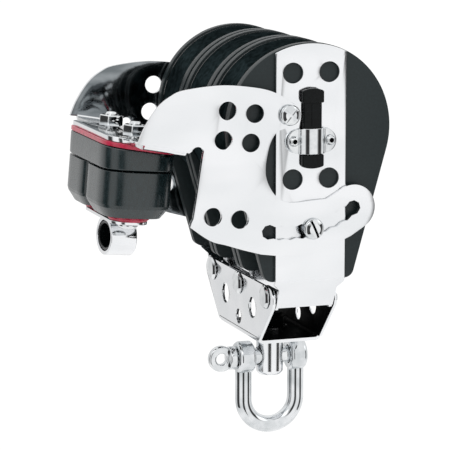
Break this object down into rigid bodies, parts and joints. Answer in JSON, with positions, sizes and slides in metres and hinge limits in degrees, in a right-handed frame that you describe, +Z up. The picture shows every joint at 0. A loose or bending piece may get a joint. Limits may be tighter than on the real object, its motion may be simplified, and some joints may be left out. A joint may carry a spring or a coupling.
{
  "type": "sheave block",
  "caption": "Ratchet sheave block with a swivel shackle and an adjustable cam cleat arm, for a sailing boat's mainsheet.",
  "frame": {"origin": "middle of the sheave axle", "axes": "+X away from the cam cleat, +Y along the sheave axle from the ratchet switch to the back, +Z up, away from the shackle"},
  "size_m": [0.1312, 0.1178, 0.1922],
  "materials": {
    "sheave_front": "hard black anodised",
    "ball_cage_front": "smooth",
    "hub_front": "polished",
    "head_pin_front": "bright",
    "sheave_middle": "hard black anodised",
    "ball_cage_middle": "smooth",
    "hub_middle": "polished",
    "head_pin_middle": "bright",
    "sheave_rear": "hard black anodised",
    "ball_cage_rear": "smooth",
    "hub_rear": "polished",
    "head_pin_rear": "bright",
    "ratchet_ring": "polished",
    "pawl": "polished",
    "pawl_pin": "bright",
    "cheek_front": "satin",
    "cheek_rear": "satin",
    "cheek_front_mid_a": "satin",
    "cheek_front_mid_b": "satin",
    "cheek_rear_mid_a": "satin",
    "cheek_rear_mid_b": "satin",
    "strap_front": "polished",
    "strap_rear": "polished",
    "strap_front_mid": "polished",
    "strap_rear_mid": "polished",
    "axle": "polished",
    "head_bracket": "polished",
    "cam_arm": "polished",
    "fairlead": "polished",
    "swivel_post": "polished",
    "swivel_washer": "polished",
    "shackle_bow": "polished",
    "switch_guide": "bright",
    "guide_screw_left": "bright",
    "guide_screw_right": "bright",
    "arm_pivot_bolt_front": "bright",
    "arm_pivot_bolt_rear": "bright",
    "arm_lock_screw_front": "bright",
    "arm_lock_screw_rear": "bright",
    "cleat_bolt_front": "bright",
    "cleat_bolt_rear": "bright",
    "cleat_nut_front": "bright",
    "cleat_nut_rear": "bright",
    "swivel_nut": "bright",
    "shackle_pin": "bright",
    "ratchet_slider": "satin",
    "fairlead_bush": "satin",
    "cleat_gasket": "smooth",
    "cam_washer_front": "smooth",
    "cam_washer_rear": "smooth",
    "cleat_base": "satin",
    "cam_front": "satin",
    "cam_rear": "satin",
    "cam_spring_front": "polished",
    "cam_spring_rear": "polished"
  },
  "bodies": {
    "block": {"cheek_front": "cheek_front", "cheek_front_mid_a": "cheek_front_mid_a", "cheek_front_mid_b": "cheek_front_mid_b", "cheek_rear_mid_a": "cheek_rear_mid_a", "cheek_rear_mid_b": "cheek_rear_mid_b", "cheek_rear": "cheek_rear", "strap_front": "strap_front", "strap_front_mid": "strap_front_mid", "strap_rear_mid": "strap_rear_mid", "strap_rear": "strap_rear", "axle": "axle", "hub_front": "hub_front", "hub_middle": "hub_middle", "hub_rear": "hub_rear", "head_bracket": "head_bracket", "head_pin_front": "head_pin_front", "head_pin_middle": "head_pin_middle", "head_pin_rear": "head_pin_rear", "switch_guide": "switch_guide", "guide_screw_left": "guide_screw_left", "guide_screw_right": "guide_screw_right", "pawl_pin": "pawl_pin", "arm_pivot_bolt_front": "arm_pivot_bolt_front", "arm_pivot_bolt_rear": "arm_pivot_bolt_rear", "arm_lock_screw_front": "arm_lock_screw_front", "arm_lock_screw_rear": "arm_lock_screw_rear"},
    "front_sheave": {"sheave_front": "sheave_front", "ball_cage_front": "ball_cage_front", "ratchet_ring": "ratchet_ring"},
    "middle_sheave": {"sheave_middle": "sheave_middle", "ball_cage_middle": "ball_cage_middle"},
    "rear_sheave": {"sheave_rear": "sheave_rear", "ball_cage_rear": "ball_cage_rear"},
    "switch": {"ratchet_slider": "ratchet_slider"},
    "ratchet_pawl": {"pawl": "pawl"},
    "cleat_arm": {"cam_arm": "cam_arm", "cleat_gasket": "cleat_gasket", "cleat_base": "cleat_base", "fairlead": "fairlead", "fairlead_bush": "fairlead_bush", "cam_washer_front": "cam_washer_front", "cam_washer_rear": "cam_washer_rear", "cleat_bolt_front": "cleat_bolt_front", "cleat_bolt_rear": "cleat_bolt_rear", "cleat_nut_front": "cleat_nut_front", "cleat_nut_rear": "cleat_nut_rear", "cam_spring_front": "cam_spring_front", "cam_spring_rear": "cam_spring_rear"},
    "front_cam": {"cam_front": "cam_front"},
    "rear_cam": {"cam_rear": "cam_rear"},
    "swivel": {"swivel_post": "swivel_post", "swivel_washer": "swivel_washer", "swivel_nut": "swivel_nut"},
    "shackle": {"shackle_bow": "shackle_bow"},
    "screw_pin": {"shackle_pin": "shackle_pin"}
  },
  "joints": [
    {"name": "front_sheave_spin", "type": "hinge", "parent": "block", "child": "front_sheave", "pos_m": [0, -0.0352, 0], "axis": [0, 1, 0], "continuous": true},
    {"name": "middle_sheave_spin", "type": "hinge", "parent": "block", "child": "middle_sheave", "pos_m": [0, 0, 0], "axis": [0, 1, 0], "continuous": true},
    {"name": "rear_sheave_spin", "type": "hinge", "parent": "block", "child": "rear_sheave", "pos_m": [0, 0.0352, 0], "axis": [0, 1, 0], "continuous": true},
    {"name": "switch_slide", "type": "slide", "parent": "block", "child": "switch", "axis": [0, 0, -1], "range_m": [0, 0.0092]},
    {"name": "pawl_turn", "type": "hinge", "parent": "block", "child": "ratchet_pawl", "pos_m": [-0.00875, -0.0466, 0.0152], "axis": [0, -1, 0], "range_deg": [0, 20]},
    {"name": "arm_swing", "type": "hinge", "parent": "block", "child": "cleat_arm", "pos_m": [-0.0113, 0, 0.0072], "axis": [0, 1, 0], "range_deg": [-22, 22]},
    {"name": "front_cam_turn", "type": "hinge", "parent": "cleat_arm", "child": "front_cam", "pos_m": [-0.07384, -0.019, -0.01915], "axis": [0.0872, 0, 0.9962], "range_deg": [0, 50], "stiffness_Nm_per_rad": 0.12, "springref_deg": -20.05},
    {"name": "rear_cam_turn", "type": "hinge", "parent": "cleat_arm", "child": "rear_cam", "pos_m": [-0.07384, 0.019, -0.01915], "axis": [-0.0872, 0, -0.9962], "range_deg": [0, 50], "stiffness_Nm_per_rad": 0.12, "springref_deg": -20.05},
    {"name": "swivel_turn", "type": "hinge", "parent": "block", "child": "swivel", "pos_m": [0, 0, -0.1039], "axis": [0, 0, 1], "continuous": true},
    {"name": "shackle_swing", "type": "hinge", "parent": "swivel", "child": "shackle", "pos_m": [0, 0, -0.1155], "axis": [1, 0, 0], "range_deg": [-100, 100]},
    {"name": "pin_withdraw", "type": "slide", "parent": "shackle", "child": "screw_pin", "axis": [-1, 0, 0], "range_m": [0, 0.036]}
  ],
  "couplings": [
    {"joint": "pawl_turn", "follows": "switch_slide", "rad_per_m": 37.9}
  ]
}
